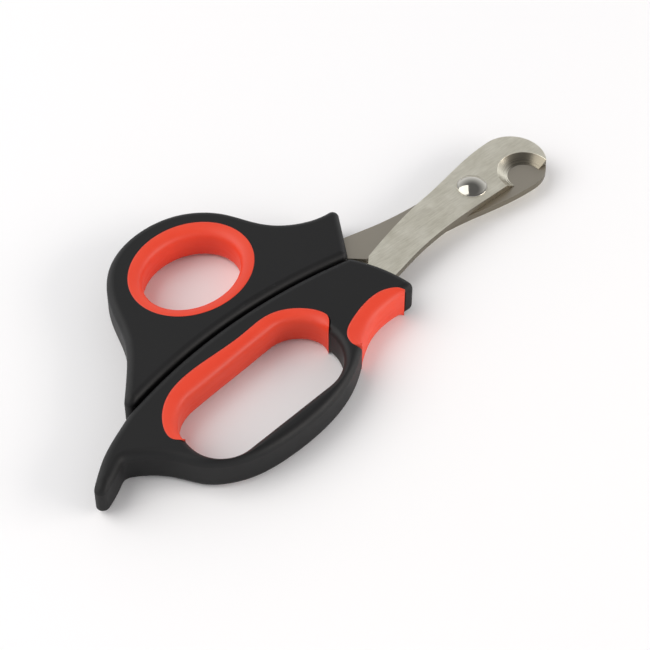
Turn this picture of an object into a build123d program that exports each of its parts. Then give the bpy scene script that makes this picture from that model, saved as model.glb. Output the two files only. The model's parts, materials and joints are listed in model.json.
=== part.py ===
"""Pet nail scissors: two steel blades on a rivet, each moulded into a soft-lined plastic handle.

The scissors lie closed on a table. +X points along the blades to the tip, +Z up, and the origin is under
the middle of the whole object. Outlines are drawn from the rivet's axis, which stands at PIVOT_X, PIVOT_Y.
"""

import os

from build123d import *

# ---- driving dimensions, in millimetres ----
PIVOT_X = 49.725
PIVOT_Y = -4.804

HANDLE_THICK = 8.5  # moulded handles, top to bottom
HANDLE_EDGE = 1.8  # rounding of the black handles' edges
GRIP_ROLL = 2.6  # rounding of the soft grips, where the fingers press
SEAM_GAP = 0.6  # between the two handles when they are closed
CORNER = 1.4  # rounding of the handles' corners, seen from above

BLADE_THICK = 1.6
BLADE_GAP = 0.06  # slack between the two blades
TIP_RADIUS = 8.1
TIP_X = 13.1  # centre of the rounded tip
NOTCH_X = 12.7  # centre of the half-round nail notch
NOTCH_Y = -4.7
NOTCH_EDGE_RADIUS = 4.0  # at the cutting edge
NOTCH_FACE_RADIUS = 6.5  # where the hollow grind meets the blade's face

SHANK_RADIUS = 2.0
SHANK_BORE = 1.2
TURNING_SLACK = 0.05  # round the shank and under the tail, where the lower blade turns
HEAD_RADIUS = 3.6
HEAD_HEIGHT = 1.5
TAIL_RADIUS = 3.3
TAIL_HEIGHT = 1.2

TANG_HOLE_RADIUS = 1.1  # plastic flows through these and locks the tang

LOOP_CORNER = 8  # rounding of the finger hole's two tighter corners
LOOP_WIDE_CORNER = 11

THUMB_HOLE = (-66.6, 21.4)
THUMB_SEAT = (15.4, 13.0)  # half axes of the soft ring's seat
THUMB_TILT = 8.7  # degrees its long axis turns away from the blades
THUMB_LINING = 3.3

MID_Z = HANDLE_THICK / 2
UPPER_Z = MID_Z + BLADE_GAP / 2  # underside of the upper blade
LOWER_Z = MID_Z - BLADE_GAP / 2 - BLADE_THICK  # underside of the lower blade
HEAD_Z = UPPER_Z + BLADE_THICK
TAIL_Z = LOWER_Z - TURNING_SLACK

os.makedirs("parts", exist_ok=True)


def level(z):
    """Drawing plane at height z with the rivet's axis at its middle."""
    return Plane(origin=(PIVOT_X, PIVOT_Y, z))


def from_pivot(x, y, z):
    return (PIVOT_X + x, PIVOT_Y + y, z)


def plate(sketch, bottom=0.0, height=HANDLE_THICK):
    """Flat outline raised into a plate."""
    with BuildPart() as raised:
        with BuildSketch(level(bottom)):
            add(sketch)
        extrude(amount=height)
    return raised.part


def rims(plate_part):
    """Edges round the outside of a plate, above and below."""
    sides = (plate_part.faces().sort_by(Axis.Z)[0], plate_part.faces().sort_by(Axis.Z)[-1])
    return [edge for side in sides for edge in side.outer_wire().edges()]


def mouths(plate_part):
    """Edges round the hole in a plate, above and below."""
    sides = (plate_part.faces().sort_by(Axis.Z)[0], plate_part.faces().sort_by(Axis.Z)[-1])
    return [edge for side in sides for wire in side.inner_wires() for edge in wire.edges()]


# ---- blades: one stamped outline, used face up and face down ----

with BuildSketch() as blade_outline:
    with BuildLine():
        back = Spline((TIP_X, TIP_RADIUS), (0, 6.6), (-11, 4.65), tangents=[(-1, 0), (-1, -0.12)])
        neck = Spline(back @ 1, (-20, 3.05), (-33, -0.4), tangents=[(-1, -0.12), (-1, -0.3)])
        shoulder = Line(neck @ 1, (-36.4, -3.8))
        inner = Line(shoulder @ 1, (-46.5, -5.3))
        end = ThreePointArc(inner @ 1, (-48.9, -7.9), (-46.5, -10.3))
        outer = Line(end @ 1, (-36, -9.35))
        belly = Spline(outer @ 1, (-24, -6.85), (-12, -5.45), (6, -5.3), tangents=[(1, 0.15), (1, 0)])
        lip = Line(belly @ 1, (TIP_X + (TIP_RADIUS**2 - 5.3**2) ** 0.5, -5.3))
        ThreePointArc(lip @ 1, (TIP_X + TIP_RADIUS, 0), back @ 0)
    make_face()
    with Locations((-40.5, -6.9), (-45.5, -7.7)):
        Circle(TANG_HOLE_RADIUS, mode=Mode.SUBTRACT)

# A ball cuts the hollow grind: the smaller circle at the cutting edge, the larger on the blade's face.
GRIND_RISE = (NOTCH_FACE_RADIUS**2 - NOTCH_EDGE_RADIUS**2 + BLADE_THICK**2) / (2 * BLADE_THICK)
GRIND_RADIUS = (NOTCH_EDGE_RADIUS**2 + GRIND_RISE**2) ** 0.5

with BuildPart() as upper_blade:
    add(plate(blade_outline.sketch, UPPER_Z, BLADE_THICK))
    with Locations(from_pivot(NOTCH_X, NOTCH_Y, UPPER_Z + GRIND_RISE)):
        Sphere(GRIND_RADIUS, mode=Mode.SUBTRACT)
    with Locations(from_pivot(0, 0, UPPER_Z)):
        Cylinder(SHANK_RADIUS, 4 * BLADE_THICK, mode=Mode.SUBTRACT)

with BuildPart() as lower_blade:
    add(plate(mirror(blade_outline.sketch, about=Plane.XZ), LOWER_Z, BLADE_THICK))
    with Locations(from_pivot(NOTCH_X, -NOTCH_Y, LOWER_Z + BLADE_THICK - GRIND_RISE)):
        Sphere(GRIND_RADIUS, mode=Mode.SUBTRACT)
    with Locations(from_pivot(0, 0, LOWER_Z)):
        Cylinder(SHANK_RADIUS + TURNING_SLACK, 4 * BLADE_THICK, mode=Mode.SUBTRACT)

# ---- rivet: a tubular post with a domed head, closed from behind by a headed pin ----


def cap_radius(radius, height):
    """Radius of the ball whose cap is that wide and that high."""
    return (radius**2 + height**2) / (2 * height)


AXIS_PLANE = Plane(origin=(PIVOT_X, PIVOT_Y, 0), x_dir=(1, 0, 0), z_dir=(0, -1, 0))
RIVET_AXIS = Axis((PIVOT_X, PIVOT_Y, 0), (0, 0, 1))

with BuildPart() as rivet_post:
    with BuildSketch(AXIS_PLANE):
        with BuildLine():
            Polyline(
                (0, HEAD_Z + HEAD_HEIGHT),
                (0, UPPER_Z),
                (SHANK_BORE, UPPER_Z),
                (SHANK_BORE, TAIL_Z),
                (SHANK_RADIUS, TAIL_Z),
                (SHANK_RADIUS, HEAD_Z),
                (HEAD_RADIUS, HEAD_Z),
            )
            RadiusArc((0, HEAD_Z + HEAD_HEIGHT), (HEAD_RADIUS, HEAD_Z), cap_radius(HEAD_RADIUS, HEAD_HEIGHT))
        make_face()
    revolve(axis=RIVET_AXIS)

with BuildPart() as rivet_pin:
    with BuildSketch(AXIS_PLANE):
        with BuildLine():
            Polyline(
                (0, TAIL_Z - TAIL_HEIGHT),
                (0, UPPER_Z),
                (SHANK_BORE, UPPER_Z),
                (SHANK_BORE, TAIL_Z),
                (TAIL_RADIUS, TAIL_Z),
            )
            RadiusArc((TAIL_RADIUS, TAIL_Z), (0, TAIL_Z - TAIL_HEIGHT), cap_radius(TAIL_RADIUS, TAIL_HEIGHT))
        make_face()
    revolve(axis=RIVET_AXIS)

# ---- thumb handle: a teardrop with a round hole, moulded round the lower blade's tang ----

with BuildSketch() as thumb_outline:
    with BuildLine():
        facing = ThreePointArc((-104.5, -1.6), (-67, 3.9 + SEAM_GAP / 2), (-37.7, 1.3))
        blade_end = Line(facing @ 1, (-28.8, 14.9))
        Spline(
            blade_end @ 1,
            (-33.4, 14.8),
            (-38.3, 16.3),
            (-44.8, 21.5),
            (-49.8, 30.5),
            (-57.3, 36.8),
            (-67, 38.7),
            (-79.2, 34.8),
            (-86.4, 25.5),
            (-90.6, 15.1),
            (-96.1, 7.6),
            facing @ 0,
        )
    make_face()
    fillet(vertices(), CORNER)

with BuildSketch() as thumb_seat:
    with Locations(THUMB_HOLE):
        Ellipse(*THUMB_SEAT, rotation=THUMB_TILT)

with BuildPart() as thumb_handle:
    add(plate(thumb_outline.sketch))
    fillet(rims(thumb_handle.part), HANDLE_EDGE)
    add(plate(thumb_seat.sketch), mode=Mode.SUBTRACT)
    add(lower_blade.part, mode=Mode.SUBTRACT)

with BuildPart() as thumb_ring_grip:
    with BuildSketch(level(0)):
        add(thumb_seat.sketch)
        with Locations(THUMB_HOLE):
            Ellipse(
                THUMB_SEAT[0] - THUMB_LINING,
                THUMB_SEAT[1] - THUMB_LINING,
                rotation=THUMB_TILT,
                mode=Mode.SUBTRACT,
            )
    extrude(amount=HANDLE_THICK)
    fillet(mouths(thumb_ring_grip.part), GRIP_ROLL)

# ---- finger handle: a long loop with a horn behind and an index rest in front ----

with BuildSketch() as finger_outline:
    with BuildLine():
        facing = ThreePointArc((-103.6, -2.0), (-67, 3.9 - SEAM_GAP / 2), (-37.9, 0.7))
        blade_end = ThreePointArc(facing @ 1, (-34.2, -7.1), (-32.6, -15.5))
        rest = Spline(blade_end @ 1, (-36.5, -15.1), (-41, -15.4), (-46.5, -16.6), (-52.3, -19.7))
        belly = Spline(
            rest @ 1,
            (-60.1, -24.9),
            (-70, -28.1),
            (-81, -29.1),
            (-92, -27.7),
            (-99.9, -22.6),
            (-104.3, -15.9),
            (-110, -11.1),
            (-122.6, -15.8),
            tangents=[rest % 1, (-0.95, -0.3)],
        )
        Spline(belly @ 1, (-118.5, -10.6), (-113.7, -7), facing @ 0, tangents=[(0.3, 0.95), (0.95, 0.45)])
    make_face()
    ends = vertices().sort_by(Axis.X)
    fillet([*ends[:2], *ends[-2:]], CORNER)

with BuildSketch() as loop_hole:
    with BuildLine():
        Polyline((-98.9, -7.2), (-55.9, -2.7), (-55.9, -23.3), (-98.4, -26.2), close=True)
    make_face()
    fillet(vertices().sort_by(Axis.Y)[1:3], LOOP_WIDE_CORNER)
    tight = vertices().sort_by(Axis.Y)
    fillet([tight[0], tight[-1]], LOOP_CORNER)

with BuildSketch() as loop_seat:
    with BuildLine():
        seat = Spline(
            (-97.6, -15.4),
            (-100.6, -13.6),
            (-98.6, -7.6),
            (-90, -2.4),
            (-78, -1.5),
            (-70.5, -1.1),
            (-63, -0.6),
            (-55, -5.5),
            (-53.5, -9),
            (-56.8, -12.8),
        )
        Polyline(seat @ 1, (-70, -14), seat @ 0)
    make_face()

with BuildSketch() as rest_seat:
    with BuildLine():
        seat = Spline(
            (-52.2, -21.6),
            (-55.0, -19.3),
            (-54.4, -16.7),
            (-50.3, -13.8),
            (-44.5, -12.0),
            (-39.2, -12.0),
            (-36.4, -13.6),
            (-35.3, -17.2),
        )
        Polyline(seat @ 1, (-42, -24), seat @ 0)
    make_face()


def loop_plate(roll):
    """Plate larger than the handle, with the finger hole through it and the hole's edges rolled over."""
    with BuildPart() as pierced:
        with BuildSketch(level(0)):
            with Locations((-77, -10)):
                Rectangle(100, 60)
            add(loop_hole.sketch, mode=Mode.SUBTRACT)
        extrude(amount=HANDLE_THICK)
        fillet(mouths(pierced.part), roll)
    return pierced.part


with BuildPart() as finger_handle:
    add(plate(finger_outline.sketch))
    fillet(rims(finger_handle.part), HANDLE_EDGE)
    add(loop_plate(HANDLE_EDGE), mode=Mode.INTERSECT)
    add(plate(loop_seat.sketch), mode=Mode.SUBTRACT)
    add(plate(rest_seat.sketch), mode=Mode.SUBTRACT)
    add(upper_blade.part, mode=Mode.SUBTRACT)

with BuildPart() as finger_loop_grip:
    add(loop_plate(GRIP_ROLL))
    add(plate(loop_seat.sketch), mode=Mode.INTERSECT)

with BuildPart() as index_rest_grip:
    with BuildSketch(level(0)):
        with BuildLine():
            add(rest)
            Polyline(rest @ 1, (-60, 0), (-30, 0), rest @ 0)
        make_face()
    extrude(amount=HANDLE_THICK)
    rolled = [edges().sort_by_distance(from_pivot(-44, -16, z))[0] for z in (0, HANDLE_THICK)]
    fillet(rolled, GRIP_ROLL)
    add(plate(rest_seat.sketch), mode=Mode.INTERSECT)

PIECES = {
    "upper_blade": upper_blade,
    "lower_blade": lower_blade,
    "rivet_post": rivet_post,
    "rivet_pin": rivet_pin,
    "thumb_handle": thumb_handle,
    "thumb_ring_grip": thumb_ring_grip,
    "finger_handle": finger_handle,
    "finger_loop_grip": finger_loop_grip,
    "index_rest_grip": index_rest_grip,
}
for name, piece in PIECES.items():
    piece.part.label = name
    export_step(piece.part, f"parts/{name}.step")
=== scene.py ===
import json
import math

import bmesh
import bpy
import numpy as np
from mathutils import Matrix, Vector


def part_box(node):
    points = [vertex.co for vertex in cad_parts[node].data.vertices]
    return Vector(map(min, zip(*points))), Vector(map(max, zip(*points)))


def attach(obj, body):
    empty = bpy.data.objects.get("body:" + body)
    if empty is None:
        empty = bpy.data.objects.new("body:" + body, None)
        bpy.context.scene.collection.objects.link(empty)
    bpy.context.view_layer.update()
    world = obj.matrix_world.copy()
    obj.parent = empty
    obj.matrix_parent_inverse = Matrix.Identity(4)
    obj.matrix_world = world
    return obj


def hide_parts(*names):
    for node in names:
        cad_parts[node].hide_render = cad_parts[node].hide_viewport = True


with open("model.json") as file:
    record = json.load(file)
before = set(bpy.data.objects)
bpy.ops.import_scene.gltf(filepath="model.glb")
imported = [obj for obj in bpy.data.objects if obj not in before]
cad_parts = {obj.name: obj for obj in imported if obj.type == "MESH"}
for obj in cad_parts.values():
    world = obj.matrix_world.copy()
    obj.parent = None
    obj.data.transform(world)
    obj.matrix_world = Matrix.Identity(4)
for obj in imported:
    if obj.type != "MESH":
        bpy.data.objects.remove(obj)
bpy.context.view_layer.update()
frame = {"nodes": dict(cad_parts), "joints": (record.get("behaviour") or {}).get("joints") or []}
nodes = frame["nodes"]

# ---- Blades ----
# Two identical stampings of 420-type stainless sheet, face to face, one turned over. Their faces are
# belt-ground to a satin, and a wheel leaves a hollow grind, scratched in rings, round the half-round nail
# notch.

# Every outline is drawn from the rivet's axis, in millimetres, as on a toolmaker's drawing. The frame's joint
# gives the axis's place. The table is at height zero.
MM = 0.001
PIVOT = np.array(frame["joints"][0]["pos_m"]) / MM

NOTCH = (12.7, -4.7)  # its centre on the upper blade; the lower blade's is its mirror image
GRIND_RADIUS = 6.5
GRIND_LAP = 0.05  # the rings stop this far inside the grind
BELT_LINE = 0.25  # spacing of the belt's scratches, coarser than the real ones so that they show
BELT_STRETCH = 12  # a scratch's length over its spacing
BELT_TURN = math.radians(-4)
WHEEL_LINE = 0.3  # spacing of the wheel's scratches, coarser too
WHEEL_POLISH = 0.1  # how much less rough the wheel leaves the steel than the belt
SCRATCH_DEPTH = 0.02  # for the bump
SMUDGE_SCALE = 220.0  # per metre, so the patches that the belt leaves lighter or darker are 4 to 5 mm wide
SATIN = ("#DBD6C4", "#F5F1E2")
# The mating face is drawn in this darker grey.
MATING_FACE_GREY = "#B0A99C"
# Grey of the stamped edges, and also of the painted shade on the far side of the grind.
STAMPED_EDGE_AND_SHADE = "#7E786B"
GRIND_SHADE_SIDE = (0.8, 0.6, 0)  # from the notch's centre, towards the side of its grind that gets a painted shade


def linear(hex_colour):
    """Linear red, green, blue and alpha of an sRGB colour written as hex."""
    srgb = np.array([int(hex_colour[i : i + 2], 16) for i in (1, 3, 5)]) / 255
    value = np.where(srgb <= 0.04045, srgb / 12.92, ((srgb + 0.055) / 1.055) ** 2.4)
    return (*value.tolist(), 1.0)


def node(tree, kind, settings=None, **inputs):
    """Adds a shader node. A setting is a property of the node. An input goes by its socket's name, or by in
    and its number, and is a value or (node, output) to link."""
    made = tree.nodes.new(kind)
    for key, value in (settings or {}).items():
        setattr(made, key, value)
    for key, value in inputs.items():
        by_number = key.startswith("in")
        socket = made.inputs[int(key[2:]) if by_number else key.replace("_", " ")]
        if isinstance(value, tuple) and isinstance(value[0], bpy.types.Node):
            tree.links.new(value[0].outputs[value[1]], socket)
        else:
            socket.default_value = value
    return made


def new_material(name):
    """A material, its emptied node tree, and a node that gives the object's own coordinates in metres."""
    material = bpy.data.materials.new(name)
    material.use_nodes = True
    tree = material.node_tree
    tree.nodes.clear()
    where = node(tree, "ShaderNodeTexCoord")
    return material, tree, where


def finish_with(tree, shader):
    """Links a shader to the output that it gives its tree."""
    out = node(tree, "ShaderNodeOutputMaterial")
    tree.links.new(shader.outputs[0], out.inputs[0])


def satin_steel(name, notch_y, mating):
    """Ground stainless steel, a soft grey-gold sheen streaked along the blade, with scratches that circle the
    notch inside the hollow grind. The mating face, which looks up where mating is 1 and down where it is -1,
    is darker. The stamped edges are darkest, and the far side of the grind has a painted shade as dark as
    that."""
    material, tree, where = new_material(name)
    stretched = node(
        tree,
        "ShaderNodeMapping",
        Vector=(where, "Object"),
        Rotation=(0, 0, BELT_TURN),
        Scale=(1 / (BELT_STRETCH * BELT_LINE * MM), 1 / (BELT_LINE * MM), 1 / (BELT_LINE * MM)),
    )
    belt = node(tree, "ShaderNodeTexNoise", Vector=(stretched, 0), Scale=1.0, Detail=3.0, Roughness=0.6)
    centre = ((PIVOT[0] + NOTCH[0]) * MM, (PIVOT[1] + notch_y) * MM, 0)
    from_notch = node(
        tree, "ShaderNodeVectorMath", {"operation": "SUBTRACT"}, in0=(where, "Object"), in1=centre
    )
    flat = node(tree, "ShaderNodeVectorMath", {"operation": "MULTIPLY"}, in0=(from_notch, 0), in1=(1, 1, 0))
    radius = node(tree, "ShaderNodeVectorMath", {"operation": "LENGTH"}, in0=(flat, 0))
    inside = node(
        tree,
        "ShaderNodeMath",
        {"operation": "LESS_THAN"},
        in0=(radius, 1),
        in1=(GRIND_RADIUS - GRIND_LAP) * MM,
    )
    rings = node(
        tree,
        "ShaderNodeTexNoise",
        {"noise_dimensions": "1D"},
        W=(radius, 1),
        Scale=1 / (WHEEL_LINE * MM),
        Detail=2.0,
    )
    scratches = node(
        tree, "ShaderNodeMix", {"data_type": "FLOAT"}, in0=(inside, 0), in2=(belt, 0), in3=(rings, 0)
    )
    smudge = node(
        tree,
        "ShaderNodeTexNoise",
        Vector=(where, "Object"),
        Scale=SMUDGE_SCALE,
        Detail=4.0,
        Roughness=0.55,
    )
    streak = node(
        tree, "ShaderNodeMix", {"data_type": "FLOAT"}, in0=0.5, in2=(smudge, 0), in3=(scratches, 0)
    )
    tone = node(tree, "ShaderNodeMapRange", in0=(streak, 0), in1=0.35, in2=0.65, in3=0.0, in4=1.0)
    satin = node(
        tree,
        "ShaderNodeMix",
        {"data_type": "RGBA"},
        in0=(tone, 0),
        in6=linear(SATIN[0]),
        in7=linear(SATIN[1]),
    )
    facing = node(tree, "ShaderNodeSeparateXYZ", Vector=(where, "Normal"))
    mating_face = node(
        tree,
        "ShaderNodeMath",
        {"operation": "MULTIPLY", "use_clamp": True},
        in0=(facing, 2),
        in1=mating,
    )
    level = node(tree, "ShaderNodeMath", {"operation": "ABSOLUTE"}, in0=(facing, 2))
    stamped = node(tree, "ShaderNodeMapRange", in0=(level, 0), in1=0.1, in2=0.4, in3=1.0, in4=0.0)
    # Painted shade: inside the grind, the side away from the notch's centre in the set direction is darkened
    # to the stamped edges' grey.
    outward = node(tree, "ShaderNodeVectorMath", {"operation": "NORMALIZE"}, in0=(flat, 0))
    along = node(
        tree, "ShaderNodeVectorMath", {"operation": "DOT_PRODUCT"}, in0=(outward, 0), in1=GRIND_SHADE_SIDE
    )
    grind_shade_ramp = node(tree, "ShaderNodeMapRange", in0=(along, 1), in1=-0.3, in2=0.7, in3=0.0, in4=1.0)
    painted_grind_shade = node(tree, "ShaderNodeMath", {"operation": "MULTIPLY"}, in0=(inside, 0), in1=(grind_shade_ramp, 0))
    edge_or_painted_shade = node(tree, "ShaderNodeMath", {"operation": "MAXIMUM"}, in0=(stamped, 0), in1=(painted_grind_shade, 0))
    face = node(
        tree,
        "ShaderNodeMix",
        {"data_type": "RGBA"},
        in0=(mating_face, 0),
        in6=(satin, 2),
        in7=linear(MATING_FACE_GREY),
    )
    colour = node(
        tree,
        "ShaderNodeMix",
        {"data_type": "RGBA"},
        in0=(edge_or_painted_shade, 0),
        in6=(face, 2),
        in7=linear(STAMPED_EDGE_AND_SHADE),
    )
    belt_rough = node(
        tree, "ShaderNodeMapRange", in0=(scratches, 0), in1=0.25, in2=0.75, in3=0.34, in4=0.46
    )
    rough = node(
        tree,
        "ShaderNodeMath",
        {"operation": "MULTIPLY_ADD"},
        in0=(inside, 0),
        in1=-WHEEL_POLISH,
        in2=(belt_rough, 0),
    )
    bump = node(
        tree, "ShaderNodeBump", Strength=0.25, Distance=SCRATCH_DEPTH * MM, Height=(scratches, 0)
    )
    shader = node(
        tree,
        "ShaderNodeBsdfPrincipled",
        Base_Color=(colour, 2),
        Metallic=1.0,
        Roughness=(rough, 0),
        Normal=(bump, 0),
    )
    finish_with(tree, shader)
    return material


def dress(cad_node, material):
    """Gives a CAD node its material."""
    for each in nodes[cad_node].material_slots:
        each.material = material


dress("upper_blade", satin_steel("belt_ground_stainless_upper", NOTCH[1], -1))
dress("lower_blade", satin_steel("belt_ground_stainless_lower", -NOTCH[1], 1))

# ---- Rivet ----
# A turned stainless post and the pin pressed into it from behind, both barrel-polished, so that they mirror
# the room. Each has a domed head with a rolled rim, wider than the blades' hole.

DENT = 0.05  # depth of the slight waves that barrel polishing leaves
DENT_SCALE = 900.0  # per metre, so the waves are about 1 mm wide

polished, tree, where = new_material("barrel_polished_stainless")
haze = node(tree, "ShaderNodeTexNoise", Vector=(where, "Object"), Scale=DENT_SCALE, Detail=3.0)
sheen = node(tree, "ShaderNodeMapRange", in0=(haze, 0), in1=0.3, in2=0.7, in3=0.06, in4=0.14)
dent = node(tree, "ShaderNodeBump", Strength=0.08, Distance=DENT * MM, Height=(haze, 0))
finish_with(
    tree,
    node(
        tree,
        "ShaderNodeBsdfPrincipled",
        Base_Color=linear("#ADAAA2"),
        Metallic=1.0,
        Roughness=(sheen, 0),
        Normal=(dent, 0),
    ),
)

BLADE_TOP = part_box("upper_blade")[1].z / MM
BLADE_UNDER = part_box("lower_blade")[0].z / MM
RIM = 0.28  # radius of the rolled rim
RIM_START = 0.15 * np.pi  # the angle from the axis at which the cap runs into the rim
FOOT = 0.1  # how far the underside of a head is drawn in from its rim
SUNK = 0.02  # how far that underside sinks into the blade, so that no gap shows
POST_RADIUS = 2.0
POST_END = BLADE_UNDER + 0.3
PIN_RADIUS = 1.2
PIN_END = BLADE_UNDER + 1.0
PIN_FACE = BLADE_UNDER - 0.05  # the pin's head stands a little clear of the lower blade
TURNS = 96
CROWN_STEPS = 24
RIM_STEPS = 8
MERGE = 1e-7  # metres, nearer than which two points are one
SLIVER = 1e-8  # metres, shorter than which an edge is taken out


def surface(name, grid, body, material, replaced, close_along=True):
    """A mesh from a grid of points, rows along the piece and columns across it, in millimetres from the
    rivet's axis. Four neighbouring points make a face. The last column joins the first, and close_along
    joins the last row to the first."""
    rows, cols = grid.shape[:2]
    index = np.arange(rows * cols).reshape(rows, cols)
    down = np.roll(index, -1, 0) if close_along else index[1:]
    here = index if close_along else index[:-1]
    faces = np.stack([here, down, np.roll(down, -1, 1), np.roll(here, -1, 1)], -1)
    points = grid.reshape(-1, 3) + [PIVOT[0], PIVOT[1], 0]
    mesh = bpy.data.meshes.new(name)
    mesh.from_pydata((points * MM).tolist(), [], faces.reshape(-1, 4).tolist())
    piece = bpy.data.objects.new(name, mesh)
    bpy.context.scene.collection.objects.link(piece)
    tidy_mesh(mesh)
    mesh.materials.append(material)
    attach(piece, body)
    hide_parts(replaced)


def tidy_mesh(mesh):
    """Merges the doubled points at poles and tapered ends, turns every face outwards and shades them
    smooth."""
    shell = bmesh.new()
    shell.from_mesh(mesh)
    bmesh.ops.remove_doubles(shell, verts=shell.verts, dist=MERGE)
    bmesh.ops.dissolve_degenerate(shell, edges=shell.edges, dist=SLIVER)
    bmesh.ops.recalc_face_normals(shell, faces=shell.faces)
    shell.to_mesh(mesh)
    shell.free()
    mesh.shade_smooth()


def lathe(outline):
    """Every outline point, as radius and height, turned round the rivet's axis: a point of radius r and
    height h goes to (r cos a, r sin a, h) for angles a round the circle."""
    outline = np.array(outline)
    angle = np.linspace(0, 2 * np.pi, TURNS, endpoint=False)
    radius, height = outline[:, :1], outline[:, 1:]
    tall = np.broadcast_to(height, (len(outline), TURNS))
    return np.stack([radius * np.cos(angle), radius * np.sin(angle), tall], -1)


def dome_outline(radius, base, height, sign):
    """A rivet head's outline from its crown to its foot. The crown is a circular cap, whose ball has radius
    (r^2 + h^2) / 2h for a cap of radius r and height h, and the rim is a part of a circle of radius RIM. The
    head stands up from its base where sign is 1 and hangs down where it is -1."""
    ball = ((radius - RIM) ** 2 + (height - RIM) ** 2) / (2 * (height - RIM))
    reach = np.linspace(0, radius - RIM, CROWN_STEPS)
    crown = base + sign * (height - (ball - np.sqrt(ball**2 - reach**2)))
    angle = np.linspace(RIM_START, np.pi / 2, RIM_STEPS)
    edge = np.stack([radius - RIM + RIM * np.sin(angle), base + sign * RIM * np.cos(angle)], -1)
    foot = [(radius, base), (radius - FOOT, base - sign * SUNK)]
    return np.concatenate([np.stack([reach, crown], -1), edge, foot])


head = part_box("rivet_post")
head_radius = (head[1].x - head[0].x) / 2 / MM
post = np.concatenate(
    [
        dome_outline(head_radius, BLADE_TOP, head[1].z / MM - BLADE_TOP, 1),
        [(POST_RADIUS, BLADE_TOP - SUNK), (POST_RADIUS, POST_END), (0, POST_END)],
    ]
)
surface("rivet_head", lathe(post), "finger_half", polished, "rivet_post", close_along=False)

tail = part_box("rivet_pin")
tail_radius = (tail[1].x - tail[0].x) / 2 / MM
pin = np.concatenate(
    [
        dome_outline(tail_radius, PIN_FACE, PIN_FACE - tail[0].z / MM, -1),
        [(PIN_RADIUS, PIN_FACE + SUNK), (PIN_RADIUS, PIN_END), (0, PIN_END)],
    ]
)
surface("rivet_tail", lathe(pin), "finger_half", polished, "rivet_pin", close_along=False)

# ---- Black handles ----
# Glass-filled polypropylene, moulded round the blades' tangs in a spark-eroded tool. To the eye it is a deep,
# matt black with a fine grain and patches that are a little glossier.

GRAIN = 0.22  # size of the pits that the eroded tool leaves, coarser than the real ones so that they show
GRAIN_DEPTH = 0.03
PATCH_SCALE = 70.0  # per metre, so the patches are about 14 mm wide

black, tree, where = new_material("moulded_polypropylene")
pits = node(
    tree,
    "ShaderNodeTexNoise",
    Vector=(where, "Object"),
    Scale=1 / (GRAIN * MM),
    Detail=2.0,
    Roughness=0.6,
)
patch = node(
    tree, "ShaderNodeTexNoise", Vector=(where, "Object"), Scale=PATCH_SCALE, Detail=5.0, Roughness=0.6
)
tint = node(
    tree,
    "ShaderNodeMix",
    {"data_type": "RGBA"},
    in0=(patch, 0),
    in6=linear("#060607"),
    in7=linear("#0C0C0D"),
)
rough = node(tree, "ShaderNodeMapRange", in0=(patch, 0), in1=0.3, in2=0.7, in3=0.5, in4=0.62)
bump = node(tree, "ShaderNodeBump", Strength=0.18, Distance=GRAIN_DEPTH * MM, Height=(pits, 0))
finish_with(
    tree,
    node(
        tree,
        "ShaderNodeBsdfPrincipled",
        Base_Color=(tint, 2),
        Roughness=(rough, 0),
        IOR=1.49,
        Specular_IOR_Level=0.36,
        Normal=(bump, 0),
    ),
)
dress("thumb_handle", black)
dress("finger_handle", black)

# ---- Soft grips ----
# Red thermoplastic elastomer, moulded over the black handles in a second shot. It is satin and slightly
# translucent, so its edges glow, and it bulges into the holes. A fine witness line runs along its crest at
# half height, where the tool parts.

SKIN_GRAIN = 0.3  # grain of the elastomer's skin, coarser than the real one so that it shows
SKIN_DEPTH = 0.03
CLOUD_SCALE = 90.0  # per metre, so the faint clouds in the colour are about 11 mm wide

red, tree, where = new_material("thermoplastic_elastomer")
skin = node(
    tree,
    "ShaderNodeTexNoise",
    Vector=(where, "Object"),
    Scale=1 / (SKIN_GRAIN * MM),
    Detail=2.0,
    Roughness=0.5,
)
cloud = node(
    tree, "ShaderNodeTexNoise", Vector=(where, "Object"), Scale=CLOUD_SCALE, Detail=4.0, Roughness=0.55
)
tint = node(
    tree,
    "ShaderNodeMix",
    {"data_type": "RGBA"},
    in0=(cloud, 0),
    in6=linear("#D93418"),
    in7=linear("#E64628"),
)
rough = node(tree, "ShaderNodeMapRange", in0=(cloud, 0), in1=0.3, in2=0.7, in3=0.42, in4=0.55)
bump = node(tree, "ShaderNodeBump", Strength=0.12, Distance=SKIN_DEPTH * MM, Height=(skin, 0))
finish_with(
    tree,
    node(
        tree,
        "ShaderNodeBsdfPrincipled",
        Base_Color=(tint, 2),
        Roughness=(rough, 0),
        IOR=1.5,
        Subsurface_Weight=0.06,
        Subsurface_Radius=(1.2 * MM, 0.4 * MM, 0.25 * MM),
        Subsurface_Scale=1.0,
        Normal=(bump, 0),
    ),
)

HANDLE_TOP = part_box("thumb_handle")[1].z / MM
SHOULDER = 5.0  # power of the section in height: a larger one makes a flatter wall and a tighter shoulder
WITNESS = 0.05  # height of the witness line on a lining 3 mm thick
LINING = 3
WITNESS_HALF = 0.25  # half the line's width, where it has fallen to about a third
HEIGHT_SHARE = 0.998  # of the handle's height, so that no face of a grip lies in a face of the handle
ACROSS = 44
FINE_STEPS = 40  # points of a spline to each one given, before they are spread evenly
ARC_STEPS = 30
HOLE_STEPS = 600
SEAT_LEVELS = np.linspace(0.1, 0.9, 5)  # shares of the height at which the seat's wall has points
ALONG = {"loop": 160, "rest": 120, "ring": 240}


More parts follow.
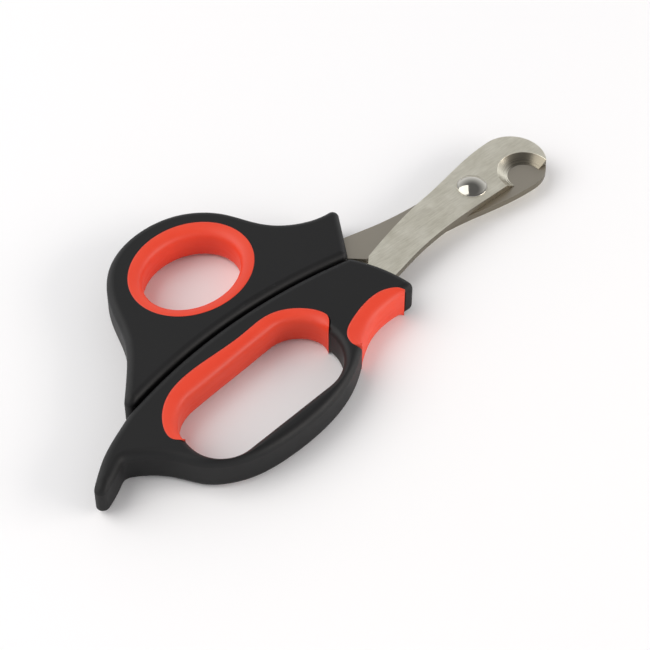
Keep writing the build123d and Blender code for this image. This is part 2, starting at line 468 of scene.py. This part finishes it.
def bulge(seat, crest):
    """A soft grip between its seat and its crest, two matching rows of points seen from above. At height h
    above the middle the section reaches sqrt(1 - |h / m|^SHOULDER) of the way from the seat to the crest,
    where m is half the handle's height, so it starts level at the top, rolls over and falls almost straight.
    A fine bead stands along the crest, and a straight wall in the seat closes the section."""
    middle = HANDLE_TOP / 2
    level = np.cos(np.linspace(0, np.pi, ACROSS))
    bead = np.exp(-((level * middle / WITNESS_HALF) ** 2))
    reach = np.sqrt(1 - np.abs(level) ** SHOULDER) - WITNESS / LINING * (1 - bead) * (1 - level**2)
    height = middle * (1 + HEIGHT_SHARE * level)
    flat = seat[:, None] + (crest - seat)[:, None] * reach[None, :, None]
    tall = np.broadcast_to(height, flat.shape[:2])
    wall = np.broadcast_to(seat[:, None], (len(seat), len(SEAT_LEVELS), 2))
    wall_tall = np.broadcast_to(height[-1] + (height[0] - height[-1]) * SEAT_LEVELS, wall.shape[:2])
    front = np.concatenate([flat, tall[..., None]], -1)
    return np.concatenate([front, np.concatenate([wall, wall_tall[..., None]], -1)], 1)


def smooth_curve(points, count):
    """Evenly spaced points on the cubic spline through the given ones. Its parameter is the length of the
    chords, its slope and bend run on through every point, and its ends are free of bend. Between two points
    it is the cubic that their bends and places fix."""
    points = np.array(points, float)
    chord = np.concatenate([[0], np.cumsum(np.linalg.norm(np.diff(points, axis=0), axis=1))])
    count_given = len(points)
    step = np.diff(chord)
    matrix = np.eye(count_given)
    wanted = np.zeros((count_given, 2))
    for i in range(1, count_given - 1):
        matrix[i, i - 1 : i + 2] = step[i - 1], 2 * (step[i - 1] + step[i]), step[i]
        wanted[i] = 6 * ((points[i + 1] - points[i]) / step[i] - (points[i] - points[i - 1]) / step[i - 1])
    bend = np.linalg.solve(matrix, wanted)
    fine = np.linspace(0, chord[-1], FINE_STEPS * count_given)
    left = np.clip(np.searchsorted(chord, fine, "right") - 1, 0, count_given - 2)
    gap = step[left][:, None]
    after = fine[:, None] - chord[left][:, None]
    before = gap - after
    curve = (
        (bend[left] * before**3 + bend[left + 1] * after**3) / (6 * gap)
        + (points[left] / gap - bend[left] * gap / 6) * before
        + (points[left + 1] / gap - bend[left + 1] * gap / 6) * after
    )
    return spread(curve, count)


def spread(path, count):
    """The same path with a new count of points, evenly spaced along its length."""
    length = np.concatenate([[0], np.cumsum(np.linalg.norm(np.diff(path, axis=0), axis=1))])
    even = np.linspace(0, length[-1], count)
    return np.stack([np.interp(even, length, path[:, axis]) for axis in (0, 1)], -1)


def rounded(corners, radii):
    """A path through the corners, each but the first and last replaced by an arc that touches both its sides.
    The arc's centre is radius / sin(half the corner's angle) from the corner, on the line that halves it."""
    corners = np.array(corners, float)
    path = [corners[:1]]
    share = np.linspace(0, 1, ARC_STEPS)[:, None]
    for before, corner, after, radius in zip(corners, corners[1:], corners[2:], radii):
        back = (before - corner) / np.linalg.norm(before - corner)
        on = (after - corner) / np.linalg.norm(after - corner)
        half = math.acos(back @ on) / 2
        centre = corner + (back + on) / np.linalg.norm(back + on) * radius / math.sin(half)
        start = corner + back * radius / math.tan(half) - centre
        finish = corner + on * radius / math.tan(half) - centre
        swept = math.pi - 2 * half
        arc = np.sin((1 - share) * swept) * start + np.sin(share * swept) * finish
        path.append(centre + arc / math.sin(swept))
    return np.concatenate([*path, corners[-1:]])


# The thumb ring: an ellipse within an ellipse, both turned a little away from the blades.
THUMB_HOLE = np.array([-66.6, 21.4])
THUMB_SEAT = np.array([15.4, 13.0])
THUMB_LINING = 3.3
THUMB_TILT = math.radians(8.7)
SEAT_LAP = 0.05  # how far the ring runs into its seat, so that no gap shows
angle = np.linspace(0, 2 * np.pi, ALONG["ring"], endpoint=False)[:, None]
circle = np.concatenate([np.cos(angle), np.sin(angle)], 1)
tilt = np.array(
    [[math.cos(THUMB_TILT), math.sin(THUMB_TILT)], [-math.sin(THUMB_TILT), math.cos(THUMB_TILT)]]
)
surface(
    "thumb_ring",
    bulge(
        THUMB_HOLE + circle * (THUMB_SEAT + SEAT_LAP) @ tilt,
        THUMB_HOLE + circle * (THUMB_SEAT - THUMB_LINING) @ tilt,
    ),
    "thumb_half",
    red,
    "thumb_ring_grip",
)

# The finger loop's lining: from its seat in the black handle to the hole's own rounded outline.
loop_seat = smooth_curve(
    [
        (-98.7, -15.3),
        (-100.6, -13.6),
        (-98.6, -7.6),
        (-90, -2.4),
        (-78, -1.5),
        (-70.5, -1.1),
        (-63, -0.6),
        (-55, -5.5),
        (-53.5, -9),
        (-55.9, -12.3),
    ],
    ALONG["loop"],
)
HOLE_CORNERS = [(-98.7, -20), (-98.9, -7.2), (-55.9, -2.7), (-55.9, -12.3)]
HOLE_RADII = (11, 8)
hole_wall = spread(rounded(HOLE_CORNERS, HOLE_RADII), HOLE_STEPS)
wall_start = np.argmin(np.linalg.norm(hole_wall - loop_seat[0], axis=1))
loop_wall = spread(hole_wall[wall_start:], ALONG["loop"])
surface(
    "finger_loop_lining",
    bulge(loop_seat, loop_wall),
    "finger_half",
    red,
    "finger_loop_grip",
    close_along=False,
)

# The index rest: a crescent outside the loop, whose crest is the handle's own outline.
rest_seat = smooth_curve(
    [
        (-53.4, -20.4),
        (-55.0, -19.3),
        (-54.4, -16.7),
        (-50.3, -13.8),
        (-44.5, -12.0),
        (-39.2, -12.0),
        (-36.4, -13.6),
        (-35.75, -15.1),
    ],
    ALONG["rest"],
)
rest_crest = smooth_curve(
    [
        (-53.4, -20.4),
        (-49.6, -18.15),
        (-46.5, -16.6),
        (-41, -15.4),
        (-35.75, -15.1),
    ],
    ALONG["rest"],
)
surface(
    "index_rest",
    bulge(rest_seat, rest_crest),
    "finger_half",
    red,
    "index_rest_grip",
    close_along=False,
)

# ---- Studio ----
# A white paper floor under a broad softbox, high on the thumb ring's side, with a low, weak strip opposite.
# The camera stands beyond the handles, looking down at 48 degrees. The paper is matt and all but even.

FLOOR_HALF = 3.0  # metres
PAPER_SCALE = 6.0  # per metre, so the paper's shade drifts over about 17 cm

sweep, tree, where = new_material("white_paper_sweep")
fibre = node(tree, "ShaderNodeTexNoise", Vector=(where, "Object"), Scale=PAPER_SCALE, Detail=2.0)
paper = node(
    tree,
    "ShaderNodeMix",
    {"data_type": "RGBA"},
    in0=(fibre, 0),
    in6=linear("#F6F6F8"),
    in7=linear("#FAF9F9"),
)
finish_with(tree, node(tree, "ShaderNodeBsdfPrincipled", Base_Color=(paper, 2), Roughness=0.6))
corners = [(x * FLOOR_HALF, y * FLOOR_HALF, 0) for x, y in ((-1, -1), (1, -1), (1, 1), (-1, 1))]
mesh = bpy.data.meshes.new("floor")
mesh.from_pydata(corners, [], [(0, 1, 2, 3)])
floor = bpy.data.objects.new("floor", mesh)
bpy.context.scene.collection.objects.link(floor)
mesh.materials.append(sweep)


def aimed(thing, place, target):
    """Puts a lamp or camera at a place and turns it to look at a target, both in metres."""
    way = np.array(target) - np.array(place)
    way = way / np.linalg.norm(way)
    thing.location = place
    thing.rotation_euler = (math.acos(-way[2]), 0, math.atan2(way[1], way[0]) - math.pi / 2)
    bpy.context.scene.collection.objects.link(thing)


def softbox(name, place, size, watts, colour):
    """A lamp with an even, oblong face, its width and length in metres, aimed at the middle of the object."""
    lamp = bpy.data.lights.new(name, "AREA")
    lamp.shape = "RECTANGLE"
    lamp.size, lamp.size_y = size
    lamp.energy = watts
    lamp.color = linear(colour)[:3]
    aimed(bpy.data.objects.new(name, lamp), place, (0, 0, 0))


softbox("key", (-0.62, 0.62, 1.0), (1.3, 1.3), 12.8, "#FFFDFA")
softbox("front_fill", (0.55, -0.72, 0.36), (0.8, 0.3), 4.2, "#FFF8F2")

# The room: bright walls round the table, and a dark ceiling that keeps the blacks deep and gives the rivet
# something dark to mirror.
WALLS = (1.24, 1.25, 1.27, 1)
CEILING = (0.22, 0.22, 0.225, 1)
WALL_TOP = 0.15  # both are the sine of an angle above the horizon
CEILING_EDGE = 0.85

world = bpy.data.worlds.new("studio")
world.use_nodes = True
room = world.node_tree
sky = node(room, "ShaderNodeTexCoord")
height = node(room, "ShaderNodeSeparateXYZ", Vector=(sky, "Generated"))
rise = node(room, "ShaderNodeMapRange", in0=(height, 2), in1=WALL_TOP, in2=CEILING_EDGE, in3=0.0, in4=1.0)
walls = node(room, "ShaderNodeMix", {"data_type": "RGBA"}, in0=(rise, 0), in6=WALLS, in7=CEILING)
room.links.new(walls.outputs[2], room.nodes["Background"].inputs[0])
bpy.context.scene.world = world
bpy.context.scene.view_settings.view_transform = "Standard"

SENSOR = 36.0
FOCAL_LENGTH = 44 / 13  # in widths of the sensor
ELEVATION = math.radians(48)
HEADING = math.radians(42)  # from +Y towards +X
DISTANCE = 0.4889
NEAREST = 0.01  # metres
aim_point = np.array([PIVOT[0] - 50.75, PIVOT[1] - 5.43, 0]) * MM
look = np.array(
    [
        math.cos(ELEVATION) * math.sin(HEADING),
        math.cos(ELEVATION) * math.cos(HEADING),
        -math.sin(ELEVATION),
    ]
)
camera_data = bpy.data.cameras.new("camera")
camera_data.sensor_width = SENSOR
camera_data.lens = SENSOR * FOCAL_LENGTH
camera_data.clip_start = NEAREST
camera = bpy.data.objects.new("camera", camera_data)
aimed(camera, aim_point - look * DISTANCE, aim_point)
bpy.context.scene.camera = camera
